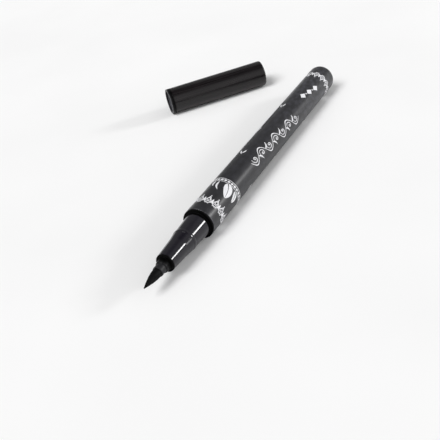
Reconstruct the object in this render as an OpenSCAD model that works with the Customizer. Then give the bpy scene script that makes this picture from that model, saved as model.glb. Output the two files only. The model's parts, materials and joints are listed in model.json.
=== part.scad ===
// Liquid eyeliner pen with its cap taken off, in millimetres.
// The pen lies along X with its tail at +X, and the origin is on its axis, halfway along the barrel.
// The cap lies beside it on the same level, with its open mouth turned away from the pen.

/* [Barrel] */
// Outside diameter of the barrel
barrel_d = 10; // [9.8:0.05:12]
// Length of the barrel tube
barrel_len = 98.7; // [75:0.5:130]
// Bore at the front and at the tail of the barrel
barrel_bore_d = 8.2; // [8.1:0.05:8.8]
// Bore of the ink tank between them
tank_bore_d = 7.6; // [6.6:0.05:7.9]
// Depth of the front bore
front_bore_len = 32.4; // [24:0.2:50]
// Edge radius at both ends of the barrel
barrel_edge = 0.25; // [0.1:0.05:0.4]

/* [Tail plug] */
// Thickness of the plug's head
tail_head_len = 0.7; // [0.5:0.05:3]
// Step between the barrel's outside and the head
tail_head_step = 0.2; // [0.1:0.05:0.5]
// Edge radius of the head
tail_head_edge = 0.4; // [0.1:0.05:0.5]
// Length of the plug's spigot
tail_spigot_len = 7; // [4:0.1:12]
// Wall of the hollow spigot
tail_spigot_wall = 1.3; // [1.1:0.05:1.8]

/* [Front section] */
// Thickness of the shoulder ring
ring_len = 0.6; // [0.4:0.05:2]
// Step between the barrel's outside and the shoulder ring
ring_step = 0.05; // [0.02:0.01:0.3]
// Diameter of the grip at the shoulder ring
grip_root_d = 8.1; // [7.6:0.05:8.15]
// Diameter of the grip behind the snap bead
grip_waist_d = 7.24; // [7:0.02:7.4]
// Diameter over the snap bead
bead_d = 7.46; // [7.4:0.01:7.56]
// Width of the snap bead
bead_len = 1.2; // [0.8:0.1:1.4]
// Distance from the shoulder ring to the middle of the snap bead
bead_at = 8; // [6.5:0.1:8.2]
// Diameter of the grip at the front end of the cone that leads up to the bead
grip_front_d = 6.58; // [6.4:0.02:6.7]
// Distance from the shoulder ring to the front end of that cone
lead_reach = 11.4; // [10.5:0.1:12.5]
// Diameter of the nozzle
nozzle_d = 5.7; // [5.2:0.05:5.9]
// Distance from the shoulder ring to the nozzle's end
nozzle_at = 18.9; // [17.5:0.1:19.5]
// Edge radius of the nozzle
nozzle_edge = 0.55; // [0.2:0.05:0.55]
// Fillet where the grip meets the shoulder ring
root_fillet = 0.2; // [0.1:0.05:0.3]
// Length of the section's spigot in the barrel
section_spigot_len = 9.4; // [8:0.1:12]
// Bore of the section for the collector's boss
section_bore_d = 5.8; // [5.4:0.05:6]
// Distance from the shoulder ring to the front end of that bore
section_bore_reach = 6; // [4:0.1:6.5]
// Depth of the seat in the nozzle for the nib holder's collar
holder_seat_len = 0.9; // [0.6:0.05:1.5]

/* [Nib and holder] */
// Diameter of the nib's shank
nib_d = 2.8; // [2.4:0.05:2.85]
// Distance from the shoulder ring to the nib's point
nib_reach = 29.5; // [26:0.1:30.5]
// Length of the nib's pointed part
nib_point_len = 6.8; // [6:0.1:7.5]
// Radius of the nib's blunt tip
nib_tip_r = 0.12; // [0.05:0.01:0.25]
// Length of the nib's shank in its holder
nib_shank_len = 11.6; // [9:0.1:12]
// Outside diameter of the nib holder
holder_d = 4; // [3.8:0.05:4.1]
// Diameter of the holder's collar
holder_collar_d = 4.5; // [4.3:0.05:4.6]
// Diameter of the holder's snout at the nozzle
snout_root_d = 4.2; // [4:0.05:4.25]
// Diameter of the snout at its end
snout_d = 3.8; // [3.6:0.05:3.95]
// Length of the snout in front of the nozzle
snout_len = 1.7; // [1.2:0.1:2.4]
// Outside diameter of the sleeve in front of the snout
sleeve_d = 3.2; // [3.1:0.05:3.4]
// Length of the nib's root that the sleeve leaves bare
nib_root_len = 0.1; // [0.05:0.05:0.5]
// Length of the holder behind the nozzle's end
holder_len = 10.6; // [8:0.1:12]
// Width and depth of the holder's air grooves
air_groove = 0.3; // [0.15:0.05:0.35]

/* [Ink feed] */
// Diameter of the relay core
core_d = 1.6; // [1.2:0.05:1.8]
// Length of the relay core
core_len = 48.5; // [44:0.1:52]
// Depth of the relay core in the nib
core_in_nib = 3; // [1.5:0.1:5]
// Hub diameter of the collector
hub_d = 3; // [2.6:0.05:4]
// Gap between the collector's fins and the barrel's bore
fin_gap = 0.2; // [0.1:0.05:0.5]
// Thickness of a collector fin
fin_t = 0.35; // [0.25:0.05:0.5]
// Space between two fins
fin_space = 0.5; // [0.3:0.05:0.8]
// Width of the ink slit through the fins
slit_w = 0.3; // [0.2:0.05:0.5]
// Width of the air notch in each fin
notch_w = 1.1; // [0.6:0.05:1.6]
// Depth of the air notch in each fin
notch_depth = 0.9; // [0.5:0.05:1.2]
// Thickness of the collector's rear disc
disc_len = 2; // [1.6:0.1:3]
// Length of the collector's boss in the section
boss_len = 8; // [5:0.1:9]
// Diameter of the mixing ball
ball_d = 4; // [3:0.1:4.5]
// Distance from the shoulder ring to the mixing ball
ball_at = 60; // [42:1:68]

/* [Cap] */
// Outside diameter of the cap
cap_d = 10; // [9.9:0.05:12]
// Length of the cap
cap_len = 40.2; // [38:0.1:48]
// Bore of the cap shell
cap_bore_d = 9.1; // [8.9:0.05:9.3]
// Thickness of the cap's closed end
cap_end_t = 0.8; // [0.5:0.05:2]
// Edge radius of the closed end
cap_edge = 0.45; // [0.2:0.05:0.8]
// Thickness of the liner's collar at the mouth
collar_len = 1.1; // [0.6:0.05:1.6]
// Width of the seam behind the collar
seam_len = 0.15; // [0.08:0.01:0.3]
// Depth of the seam behind the collar
seam_depth = 0.25; // [0.1:0.01:0.3]
// Bore of the liner at the mouth
mouth_d = 8.3; // [8.2:0.02:8.5]
// Edge radius of the mouth
mouth_edge = 0.15; // [0.05:0.01:0.2]
// Bore of the liner over the snap bead
snap_bore_d = 7.7; // [7.6:0.02:7.9]
// How far the snap rib reaches in past the top of the bead
snap_bite = 0.06; // [0.03:0.01:0.08]
// Width of the snap rib at its root, which rests behind the bead when the cap is on
rib_len = 0.7; // [0.5:0.05:0.8]
// Length of the bore between the mouth's bevel and the snap rib
rib_lead = 0.4; // [0.2:0.05:0.8]
// Length of the liner
liner_len = 17; // [15:0.1:17]
// Width of the air grooves along the liner's bore
vent_w = 1.6; // [0.8:0.1:2.4]
// Depth of the air grooves
vent_depth = 0.15; // [0.05:0.05:0.3]
// Distance from the pen's shoulder ring to the cap's mouth along the pen
cap_x = 73.8; // [50:0.1:110]
// Distance from the pen's axis to the cap's mouth, sideways
cap_y = 54.8; // [35:0.1:80]
// Turn of the lying cap in degrees, from its mouth to its closed end
cap_turn = -43.6; // [-60:0.2:60]

/* [Inner cap and spring] */
// Outside diameter of the inner cap
inner_d = 6.6; // [6.2:0.05:6.8]
// Wall of the inner cap
inner_wall = 1; // [0.6:0.05:1.1]
// Space between the inner cap and the cap's closed end
inner_end_gap = 5.9; // [4:0.1:7]
// Thickness of the inner cap's flange
inner_flange_len = 1; // [0.6:0.05:1.5]
// Width of the ribs that keep the spring centred
guide_w = 0.6; // [0.4:0.1:0.8]
// Gap between those ribs and the spring
guide_gap = 0.2; // [0.15:0.05:0.25]
// Height of the boss that centres the spring on the closed end
spring_boss_len = 1; // [0.5:0.1:1.5]
// Depth of the conical seat for the nozzle
seat_len = 0.6; // [0.4:0.05:0.9]
// Diameter of the seat at its mouth
seat_d = 5.9; // [5.7:0.05:6.1]
// Wire diameter of the spring
wire_d = 0.5; // [0.3:0.05:0.6]
// Mean diameter of the spring
spring_d = 7.8; // [7.6:0.05:8]
// Curls of the spring
curls = 9; // [6:1:12]

/* [Seals and fits] */
// Cord diameter of the rubber rings
cord_d = 0.8; // [0.6:0.05:0.9]
// Distance from a spigot's end to the middle of its ring groove
groove_at = 1.6; // [1.2:0.1:2.4]
// Clearance all round a piece that is pressed or seated in another
seat_gap = 0.02; // [0.01:0.01:0.05]
// Clearance all round a piece that slides in another
slide_gap = 0.08; // [0.05:0.01:0.1]
// Gap between a sliding piece and its stop
stop_gap = 0.1; // [0.05:0.01:0.2]

/* [Hidden] */
facets = 72;
arc_steps = 5;
overrun = 1.5 * cord_d;

// Radii and stations of the barrel, measured along the pen from the shoulder ring's front face
barrel_r = barrel_d / 2;
bore_r = barrel_bore_d / 2;
tank_r = tank_bore_d / 2;
barrel_x0 = ring_len;
barrel_x1 = barrel_x0 + barrel_len;
barrel_mid = (barrel_x0 + barrel_x1) / 2;
tank_x0 = barrel_x0 + front_bore_len;
tank_x1 = barrel_x1 - tail_spigot_len - stop_gap;

// A rubber ring lies in a groove of its spigot and reaches the bore
spigot_r = bore_r - seat_gap;
ring_r = spigot_r - cord_d / 2;
groove_r = ring_r - cord_d / 2 - seat_gap;
groove_len = cord_d + 2 * seat_gap;
section_groove_x = barrel_x0 + section_spigot_len - groove_at;
tail_groove_x = barrel_x1 - tail_spigot_len + groove_at;

// Grip of the front section, whose stations run forward from the ring as negative x
nozzle_x = -nozzle_at;
bead_x = -bead_at;
nozzle_r = nozzle_d / 2;
holder_r = holder_d / 2;
holder_collar_r = holder_collar_d / 2;
nozzle_bore_r = holder_r + seat_gap;
section_bore_r = section_bore_d / 2;
section_x1 = barrel_x0 + section_spigot_len;

// Nib, holder and relay core
nib_r = nib_d / 2;
nib_x = -nib_reach;
shank_x0 = nib_x + nib_point_len;
shank_x1 = shank_x0 + nib_shank_len;
core_r = core_d / 2;
core_x0 = shank_x1 - core_in_nib;
core_x1 = core_x0 + core_len;
point_steps = 14;

// Collector, which stands against the step in front of the tank
disc_x1 = tank_x0 - stop_gap;
disc_x0 = disc_x1 - disc_len;
collector_groove_x = (disc_x0 + disc_x1) / 2;
boss_x1 = section_x1 + fin_space;
boss_x0 = boss_x1 - fin_space - boss_len;
fin_pitch = fin_t + fin_space;
fins = floor((disc_x0 - fin_space - boss_x1) / fin_pitch);
fin_r = bore_r - fin_gap;
hub_r = hub_d / 2;
core_bore_r = core_r + slide_gap;

// Mixing ball on the lower wall of the tank
ball_r = ball_d / 2;
ball_z = -(tank_r - ball_r - slide_gap);

// Cap, whose own stations run from its mouth at 0 to its closed end
cap_r = cap_d / 2;
cap_bore_r = cap_bore_d / 2;
cap_z = cap_r - barrel_r;
liner_r = cap_bore_r - seat_gap;
shell_s0 = collar_len;
end_s = cap_len - cap_end_t;
snap_r = snap_bore_d / 2;
mouth_r = mouth_d / 2;
mouth_bevel = mouth_r - snap_r;
rib_r = bead_d / 2 - snap_bite;
rib_at = bead_at - bead_len / 2 - rib_len / 2 - seat_gap;
mouth_len = rib_at - rib_len / 2 - rib_lead - mouth_bevel;
inner_s0 = liner_len + stop_gap;
inner_s1 = end_s - inner_end_gap;
inner_r = inner_d / 2;
inner_bore_r = inner_r - inner_wall;
flange_s = inner_s0 + inner_flange_len;
flange_r = cap_bore_r - slide_gap;

// Spring between the inner cap's flange and the closed end
wire_r = wire_d / 2;
spring_r = spring_d / 2;
spring_s0 = flange_s + wire_r + seat_gap;
spring_s1 = end_s - wire_r - seat_gap;
curl_rings = 8;
wire_sides = 6;
spring_rings = curls * curl_rings;
spring_pitch = (spring_s1 - spring_s0) / curls;
guide_r = spring_r - wire_r - guide_gap;
spring_boss_r = (spring_r - wire_r) * cos(180 / curl_rings) - guide_gap;

// Solid turned about X from an outline of [station, radius] points
module turned(outline) {
    rotate([0, 90, 0])
        rotate_extrude($fn = facets)
            polygon([for (p = outline) [p[1], p[0]]]);
}

// Points of a circular arc in [station, radius]
function arc(x, r, radius, from, to) =
    [for (i = [0:arc_steps])
        let (a = from + (to - from) * i / arc_steps)
            [x + radius * cos(a), r + radius * sin(a)]];

// Puts a piece that is drawn from the shoulder ring along X where the pen lies
module at_pen() {
    translate([-barrel_mid, 0, 0])
        children();
}

// Rubber ring of round section, centred on the pen's axis
module rubber_ring(x) {
    color("#1b1b1c")
        at_pen()
            translate([x, 0, 0])
                rotate([0, 90, 0])
                    rotate_extrude($fn = facets)
                        translate([ring_r, 0])
                            circle(r = cord_d / 2, $fn = 24);
}

// Groove for such a ring, as a body to cut away
module ring_groove(x) {
    turned([
        [x - groove_len / 2, groove_r],
        [x - groove_len / 2, spigot_r + overrun],
        [x + groove_len / 2, spigot_r + overrun],
        [x + groove_len / 2, groove_r]
    ]);
}

// Puts a piece that is drawn from the mouth along X where the cap lies
module at_cap() {
    translate([cap_x - barrel_mid, cap_y, cap_z])
        rotate([0, 0, cap_turn])
            children();
}

module barrel_tube() {
    color("#47474b")
        at_pen()
            turned(concat(
                arc(barrel_x0 + barrel_edge, barrel_r - barrel_edge, barrel_edge, 180, 90),
                arc(barrel_x1 - barrel_edge, barrel_r - barrel_edge, barrel_edge, 90, 0),
                [
                    [barrel_x1, bore_r],
                    [tank_x1, bore_r],
                    [tank_x1, tank_r],
                    [tank_x0, tank_r],
                    [tank_x0, bore_r],
                    [barrel_x0, bore_r]
                ]
            ));
}

module tail_plug() {
    head_r = barrel_r - tail_head_step;
    head_x = barrel_x1 + tail_head_len;
    cup_r = spigot_r - tail_spigot_wall;
    cup_x = barrel_x1 - tail_spigot_wall;
    color("#3f3f43")
        at_pen()
            difference() {
                turned(concat(
                    [
                        [cup_x, 0],
                        [cup_x, cup_r],
                        [barrel_x1 - tail_spigot_len, cup_r],
                        [barrel_x1 - tail_spigot_len, spigot_r],
                        [barrel_x1, spigot_r],
                        [barrel_x1, head_r]
                    ],
                    arc(head_x - tail_head_edge, head_r - tail_head_edge, tail_head_edge, 90, 0),
                    [[head_x, 0]]
                ));
                ring_groove(tail_groove_x);
            }
}

module tail_seal() {
    rubber_ring(tail_groove_x);
}

module front_section() {
    ring_outer_r = barrel_r - ring_step;
    root_r = grip_root_d / 2;
    color("#0d0d0f")
        at_pen()
            difference() {
                turned(concat(
                    [
                        [section_x1, section_bore_r],
                        [-section_bore_reach, section_bore_r],
                        [-section_bore_reach, nozzle_bore_r],
                        [nozzle_x + holder_seat_len, nozzle_bore_r],
                        [nozzle_x + holder_seat_len, holder_collar_r + seat_gap],
                        [nozzle_x, holder_collar_r + seat_gap]
                    ],
                    arc(nozzle_x + nozzle_edge, nozzle_r - nozzle_edge, nozzle_edge, 180, 90),
                    [
                        [-lead_reach, grip_front_d / 2],
                        [bead_x - bead_len / 2, grip_waist_d / 2]
                    ],
                    bead_outline(),
                    [[bead_x + bead_len / 2, grip_waist_d / 2]],
                    arc(-root_fillet, root_r + root_fillet, root_fillet, -90, 0),
                    [
                        [0, ring_outer_r],
                        [barrel_x0 - seat_gap, ring_outer_r],
                        [barrel_x0 - seat_gap, spigot_r],
                        [section_x1, spigot_r]
                    ]
                ));
                ring_groove(section_groove_x);
            }
}

// Top of the snap bead, a low arch between its two foot points
function bead_outline() =
    [for (i = [1:arc_steps])
        let (a = 180 * i / (arc_steps + 1))
            [bead_x - bead_len / 2 * cos(a),
             grip_waist_d / 2 + (bead_d - grip_waist_d) / 2 * sin(a)]];

module section_seal() {
    rubber_ring(section_groove_x);
}

module nib_holder() {
    holder_x1 = nozzle_x + holder_len;
    snout_x = nozzle_x - snout_len;
    sleeve_x = shank_x0 + nib_root_len;
    sleeve_r = sleeve_d / 2;
    lip = (sleeve_d - nib_d) / 4;
    step = snout_d / 2 - sleeve_r;
    color("#4b4b4e")
        at_pen()
            difference() {
                turned(concat(
                    [
                        [holder_x1, nib_r + seat_gap],
                        [sleeve_x, nib_r + seat_gap]
                    ],
                    arc(sleeve_x + lip, sleeve_r - lip, lip, 180, 90),
                    arc(snout_x + step, sleeve_r, step, 180, 90),
                    [
                        [nozzle_x, snout_root_d / 2],
                        [nozzle_x, holder_collar_r],
                        [nozzle_x + holder_seat_len - seat_gap, holder_collar_r],
                        [nozzle_x + holder_seat_len - seat_gap, holder_r],
                        [holder_x1, holder_r]
                    ]
                ));
                for (turn = [0:120:240])
                    rotate([turn, 0, 0])
                        translate([nozzle_x + holder_seat_len, -air_groove / 2, holder_r - air_groove])
                            cube([holder_len, air_groove, air_groove + overrun]);
            }
}

// The point follows a quarter sine, blunt at its tip and tangent to the shank
function point_outline() =
    [for (i = [1:point_steps])
        let (t = i / point_steps)
            [nib_x + nib_point_len * t,
             nib_tip_r + (nib_r - nib_tip_r) * sin(90 * t)]];

module nib() {
    socket_x = core_x0 - stop_gap;
    socket_r = core_r + seat_gap;
    color("#141414")
        at_pen()
            turned(concat(
                [
                    [nib_x - nib_tip_r / 2, 0],
                    [nib_x, nib_tip_r]
                ],
                point_outline(),
                [
                    [shank_x1, nib_r],
                    [shank_x1, socket_r],
                    [socket_x, socket_r],
                    [socket_x, 0]
                ]
            ));
}

module relay_core() {
    taper = core_r / 2;
    color("#232324")
        at_pen()
            turned([
                [core_x0, 0],
                [core_x0, core_r - taper],
                [core_x0 + taper, core_r],
                [core_x1 - taper, core_r],
                [core_x1, core_r - taper],
                [core_x1, 0]
            ]);
}

// One fin after another along the hub, then the hub's end at the rear disc
function comb_outline() =
    [for (i = [0:fins - 1])
        let (x = boss_x1 + fin_space + i * fin_pitch)
            each [[x, hub_r], [x, fin_r], [x + fin_t, fin_r], [x + fin_t, hub_r]]];

module collector() {
    boss_r = section_bore_r - seat_gap;
    color("#d9dde0")
        at_pen()
            difference() {
                turned(concat(
                    [
                        [disc_x1, core_bore_r],
                        [boss_x0, core_bore_r],
                        [boss_x0, boss_r],
                        [boss_x1, boss_r],
                        [boss_x1, hub_r]
                    ],
                    comb_outline(),
                    [
                        [disc_x0, hub_r],
                        [disc_x0, spigot_r],
                        [disc_x1, spigot_r]
                    ]
                ));
                ring_groove(collector_groove_x);
                ink_slit();
                for (i = [0:fins - 1])
                    air_notch(i);
            }
}

// Narrow slit that feeds the spaces between all fins from the relay core
module ink_slit() {
    translate([boss_x1, -slit_w / 2, 0])
        cube([disc_x0 - boss_x1, slit_w, fin_r + overrun]);
}

// Notch that lets the air past a fin, to the left and to the right in turn
module air_notch(i) {
    side = i % 2 == 0 ? 1 : -1;
    rotate([90 * side, 0, 0])
        translate([boss_x1 + fin_space / 2 + i * fin_pitch, -notch_w / 2, fin_r - notch_depth])
            cube([fin_pitch, notch_w, notch_depth + overrun]);
}

module collector_seal() {
    rubber_ring(collector_groove_x);
}

module mixing_ball() {
    color("#b9bdc1")
        at_pen()
            translate([ball_at, 0, ball_z])
                sphere(d = ball_d, $fn = 48);
}

module cap_shell() {
    color("#161417")
        at_cap()
            turned(concat(
                [
                    [shell_s0, cap_bore_r],
                    [shell_s0, cap_r - seam_depth],
                    [shell_s0 + seam_len, cap_r - seam_depth],
                    [shell_s0 + seam_len, cap_r]
                ],
                arc(cap_len - cap_edge, cap_r - cap_edge, cap_edge, 90, 0),
                [
                    [cap_len, 0],
                    [end_s - spring_boss_len, 0],
                    [end_s - spring_boss_len, spring_boss_r],
                    [end_s, spring_boss_r],
                    [end_s, cap_bore_r]
                ]
            ));
}

module cap_liner() {
    color("#0e0e10")
        at_cap()
            difference() {
                turned(concat(
                    arc(mouth_edge, mouth_r + mouth_edge, mouth_edge, -90, -180),
                    arc(mouth_edge, cap_r - mouth_edge, mouth_edge, 180, 90),
                    [
                        [collar_len - seat_gap, cap_r],
                        [collar_len - seat_gap, liner_r],
                        [liner_len, liner_r],
                        [liner_len, snap_r],
                        [rib_at + rib_len / 2, snap_r],
                        [rib_at + rib_len / 6, rib_r],
                        [rib_at - rib_len / 6, rib_r],
                        [rib_at - rib_len / 2, snap_r],
                        [mouth_len + mouth_bevel, snap_r],
                        [mouth_len, mouth_r]
                    ]
                ));
                for (turn = [0:120:240])
                    rotate([turn, 0, 0])
                        translate([mouth_len, -vent_w / 2, 0])
                            cube([liner_len - mouth_len + overrun, vent_w, snap_r + vent_depth]);
            }
}

module inner_cap() {
    seat_r = seat_d / 2;
    cup_s = inner_s1 - inner_wall;
    guide_s = flange_s - inner_flange_len / 2;
    guide_root_r = inner_r - inner_wall / 2;
    color("#1d1d20")
        at_cap() {
            turned([
                [inner_s0, seat_r],
                [inner_s0, flange_r],
                [flange_s, flange_r],
                [flange_s, inner_r],
                [cup_s, inner_r],
                [inner_s1, inner_r - inner_wall],
                [inner_s1, 0],
                [cup_s, 0],
                [cup_s, inner_bore_r],
                [inner_s0 + seat_len, inner_bore_r]
            ]);
            for (turn = [45:90:315])
                rotate([turn, 0, 0])
                    translate([guide_s, -guide_w / 2, guide_root_r])
                        cube([cup_s - guide_s, guide_w, guide_r - guide_root_r]);
        }
}

// Centre line of the spring at ring number i
function spring_point(i) =
    let (a = 360 * i / curl_rings)
        [spring_s0 + spring_pitch * i / curl_rings, spring_r * cos(a), spring_r * sin(a)];

// Corners of the wire's section at ring number i
function wire_ring(i) =
    let (a = 360 * i / curl_rings, c = spring_point(i))
        [for (k = [0:wire_sides - 1])
            let (b = 360 * k / wire_sides)
                c + wire_r * [cos(b), sin(b) * cos(a), sin(b) * sin(a)]];

// Least distance between two stretches of the wire that are half a curl or more apart
spring_least_gap = min([
    for (i = [0:spring_rings], j = [i + curl_rings / 2:1:spring_rings])
        norm(spring_point(i) - spring_point(j)) - wire_d
]);

module cap_spring() {
    corners = [for (i = [0:spring_rings]) each wire_ring(i)];
    last = spring_rings * wire_sides;
    sides = [
        for (i = [0:spring_rings - 1], k = [0:wire_sides - 1])
            let (
                a = i * wire_sides + k,
                b = i * wire_sides + (k + 1) % wire_sides,
                c = b + wire_sides,
                d = a + wire_sides
            )
                each [[a, b, c], [a, c, d]]
    ];
    first_end = [for (k = [1:wire_sides - 2]) [0, k + 1, k]];
    last_end = [for (k = [1:wire_sides - 2]) [last, last + k, last + k + 1]];
    echo(str("least gap between curls of the spring: ", spring_least_gap, " mm"));
    color("#a9adb2")
        at_cap()
            polyhedron(corners, concat(first_end, sides, last_end));
}

barrel_tube();
tail_plug();
tail_seal();
front_section();
section_seal();
nib_holder();
nib();
relay_core();
collector();
collector_seal();
mixing_ball();
cap_shell();
cap_liner();
inner_cap();
cap_spring();
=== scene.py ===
# %% [markdown]
# A liquid eyeliner pen, dressed in Blender.
#
# The pen lies on a pale table with its cap taken off and laid beside it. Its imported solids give
# every place and size, so this notebook only makes the surfaces finer and gives each one its real
# finish. Lengths are worked out in millimetres, and become metres only where Blender takes them
# over.

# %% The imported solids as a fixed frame
import json
import math

import bmesh
import bpy
import numpy as np
from mathutils import Euler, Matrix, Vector


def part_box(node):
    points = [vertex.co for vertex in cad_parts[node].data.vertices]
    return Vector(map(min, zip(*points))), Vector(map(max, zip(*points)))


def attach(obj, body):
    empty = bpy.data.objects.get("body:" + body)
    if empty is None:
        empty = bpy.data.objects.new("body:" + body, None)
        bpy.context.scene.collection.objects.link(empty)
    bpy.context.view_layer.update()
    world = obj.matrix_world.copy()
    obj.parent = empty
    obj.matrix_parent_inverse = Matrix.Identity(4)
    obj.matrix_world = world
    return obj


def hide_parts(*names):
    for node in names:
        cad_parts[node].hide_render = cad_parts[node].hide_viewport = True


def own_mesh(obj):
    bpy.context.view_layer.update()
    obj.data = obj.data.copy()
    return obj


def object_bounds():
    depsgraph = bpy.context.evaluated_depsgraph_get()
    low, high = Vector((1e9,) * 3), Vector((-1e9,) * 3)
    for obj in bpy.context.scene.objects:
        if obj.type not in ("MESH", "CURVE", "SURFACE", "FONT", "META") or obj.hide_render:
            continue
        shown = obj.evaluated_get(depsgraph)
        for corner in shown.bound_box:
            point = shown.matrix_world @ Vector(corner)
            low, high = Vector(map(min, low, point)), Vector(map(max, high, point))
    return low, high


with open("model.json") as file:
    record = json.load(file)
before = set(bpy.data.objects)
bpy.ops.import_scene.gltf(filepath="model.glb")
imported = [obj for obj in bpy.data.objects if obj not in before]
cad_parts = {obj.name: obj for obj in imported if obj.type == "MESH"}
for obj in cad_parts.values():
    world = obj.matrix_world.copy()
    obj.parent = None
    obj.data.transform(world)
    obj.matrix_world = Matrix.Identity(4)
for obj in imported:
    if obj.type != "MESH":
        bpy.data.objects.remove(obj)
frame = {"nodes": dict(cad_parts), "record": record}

cad_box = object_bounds()
mm = 0.001
print("box of the solids in mm:", [[round(c / mm, 2) for c in corner] for corner in cad_box])

# %% [markdown]
# The pen and the cap are both turned forms, so each gets its own axes: an origin, the direction
# along it, the direction to its side and the direction up. A point is then a station along the
# axis, a radius and an angle round it. The pen's stations start at the shoulder ring, where barrel
# and grip meet. The cap's start at its open mouth. The record gives the mouth as a mount, a place 3
# mm inside it and the direction out, so the cap needs no measuring by eye.


# %% Axes of the pen and of the cap
class Axes:
    """Origin in mm and three unit directions: along the axis, to its side and up."""

    def __init__(self, origin, along):
        self.origin = np.array(origin, float)
        self.along = np.array(along, float) / np.linalg.norm(along)
        self.up = np.array([0.0, 0.0, 1.0])
        self.side = np.cross(self.up, self.along)
        self.turn = math.atan2(self.along[1], self.along[0])

    def point(self, station, radius, angle):
        """Point at a station along the axis, then out by the radius at an angle from the side towards up."""
        station, radius, angle = np.broadcast_arrays(station, radius, angle)
        across = np.multiply.outer(radius * np.cos(angle), self.side)
        height = np.multiply.outer(radius * np.sin(angle), self.up)
        return self.origin + np.multiply.outer(station, self.along) + across + height


RING_LEN = 0.6
MOUNT_DEPTH = 3.0
barrel_low, barrel_high = [np.array(corner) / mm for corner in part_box("barrel_tube")]
BARREL_R = (barrel_high[2] - barrel_low[2]) / 2
BARREL_END = barrel_high[0] - barrel_low[0] + RING_LEN
pen_axes = Axes([barrel_low[0] - RING_LEN, 0, 0], [1, 0, 0])
mouth = next(mount for mount in frame["record"]["mounts"] if mount["name"] == "cap_mouth")
mouth_out = np.array(mouth["axis"])
cap_axes = Axes(np.array(mouth["pos_m"]) / mm + MOUNT_DEPTH * mouth_out, -mouth_out)
print("barrel radius and end:", round(BARREL_R, 3), round(BARREL_END, 2))
print("cap mouth at:", cap_axes.origin.round(2), "turned by degrees:", round(math.degrees(cap_axes.turn), 1))

# %% [markdown]
# A finish starts from a colour as it is seen, written in sRGB hex, while a shader adds up light and
# needs linear values. One function turns one into the other. A second one adds any node with its
# settings and inputs in one call, where an input may be a number, a hex colour, a socket or another
# node.


# %% Colours and nodes
def linear(code):
    """sRGB hex to linear: each channel c becomes ((c + 0.055) / 1.055) ** 2.4, or c / 12.92 if dark."""
    channels = [int(code[i:i + 2], 16) / 255 for i in (1, 3, 5)]
    return [c / 12.92 if c <= 0.04045 else ((c + 0.055) / 1.055) ** 2.4 for c in channels] + [1.0]


def add(tree, kind, inputs=None, **settings):
    """Adds a node: its settings, then its inputs by name or number. A node as input stands for its result."""
    node = tree.nodes.new("ShaderNode" + kind)
    for name, value in settings.items():
        setattr(node, name, value)
    for key, value in (inputs or {}).items():
        if isinstance(value, bpy.types.Node):
            value = next(output for output in value.outputs if output.enabled)
        if isinstance(value, bpy.types.NodeSocket):
            tree.links.new(value, node.inputs[key])
        else:
            node.inputs[key].default_value = linear(value) if isinstance(value, str) else value
    return node


print("charcoal in linear light:", [round(c, 4) for c in linear("#2c2c2f")])

# %% [markdown]
# Every finish here is made of the same things: noise at a real size, tones laid over one another by
# it, a gloss that it changes and a fine relief. Noise reads the object's own coordinates, moved
# into the axes of the pen or the cap and scaled to millimetres, so a pattern is drawn in real sizes
# and runs along the piece wherever it lies.


# %% Patterns in real sizes and the finish made of them
def blank(name, axes):
    """New material with an empty tree, and the place on the piece along the axes, in mm."""
    made = bpy.data.materials.new(name)
    made.use_nodes = True
    tree = made.node_tree
    tree.nodes.clear()
    place = add(tree, "Mapping", {
        "Vector": add(tree, "TexCoord").outputs["Object"],
        "Location": Vector(axes.origin * mm),
        "Rotation": (0, 0, axes.turn),
        "Scale": (mm, mm, mm),
    }, vector_type="TEXTURE")
    return made, place


def noise(place, along, across, detail=2.0, contrast=(0.3, 0.7)):
    """Noise from 0 to 1 whose patches are that many mm long along the axis and across it."""
    tree = place.id_data
    stretched = add(tree, "Mapping", {"Vector": place, "Scale": (1 / along, 1 / across, 1 / across)})
    grain = add(tree, "TexNoise", {"Vector": stretched, "Scale": 1.0, "Detail": detail})
    return add(tree, "MapRange", {"Value": grain, "From Min": contrast[0], "From Max": contrast[1]})


def finish(made, tones, gloss, heights, constants, level=()):
    """Surface with layered colour, roughness and relief.

    Tones are a first colour and then, for each layer over it, a pattern, how strong it gets and its colour.
    Gloss has for each layer a pattern and the roughness where it is 0 and where it is 1, and the roughest
    layer counts. Level says the same of the specular level, where that isn't a constant. Heights are a
    pattern and its height in mm for each layer of relief.
    """
    tree = made.node_tree
    colour, *layers = tones
    for pattern, strength, over in layers:
        share = add(tree, "Math", {0: pattern, 1: strength}, operation="MULTIPLY")
        colour = add(tree, "Mix", {0: share, 6: colour, 7: over}, data_type="RGBA")
    inputs = {"Base Color": colour, **constants}
    for name, ranges in (("Roughness", gloss), ("Specular IOR Level", level)):
        for pattern, at_0, at_1 in ranges:
            value = add(tree, "MapRange", {"Value": pattern, "To Min": at_0, "To Max": at_1})
            if name in inputs:
                value = add(tree, "Math", {0: inputs[name], 1: value}, operation="MAXIMUM")
            inputs[name] = value
    normal = {}
    for pattern, height in heights:
        normal = {"Normal": add(tree, "Bump", {"Height": pattern, "Distance": height * mm, **normal})}
    shader = add(tree, "BsdfPrincipled", {**inputs, **normal})
    add(tree, "OutputMaterial", {"Surface": shader})
    return made


print("noise patches and relief heights are in mm")

# %% [markdown]
# The barrel is an extruded plastic tube sprayed with charcoal satin lacquer. A sprayed coat flows
# out into low waves called orange peel, fine dust shows in it, and handling leaves long polished
# streaks. It could be drawn as one grey with one roughness, but then it would look like a screen
# drawing, so tone, gloss and relief all vary a little. The coat is rubbed thin at the tube's two
# edges, and towards the tail the spray lies in coarser, drier drops.

# %% Charcoal satin lacquer
DROPS_START, DROPS_FULL, DROPS_LEAST = 45, 85, 0.25
RUBBED_START, RUBBED_FULL = 0.45, 0.05


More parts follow.
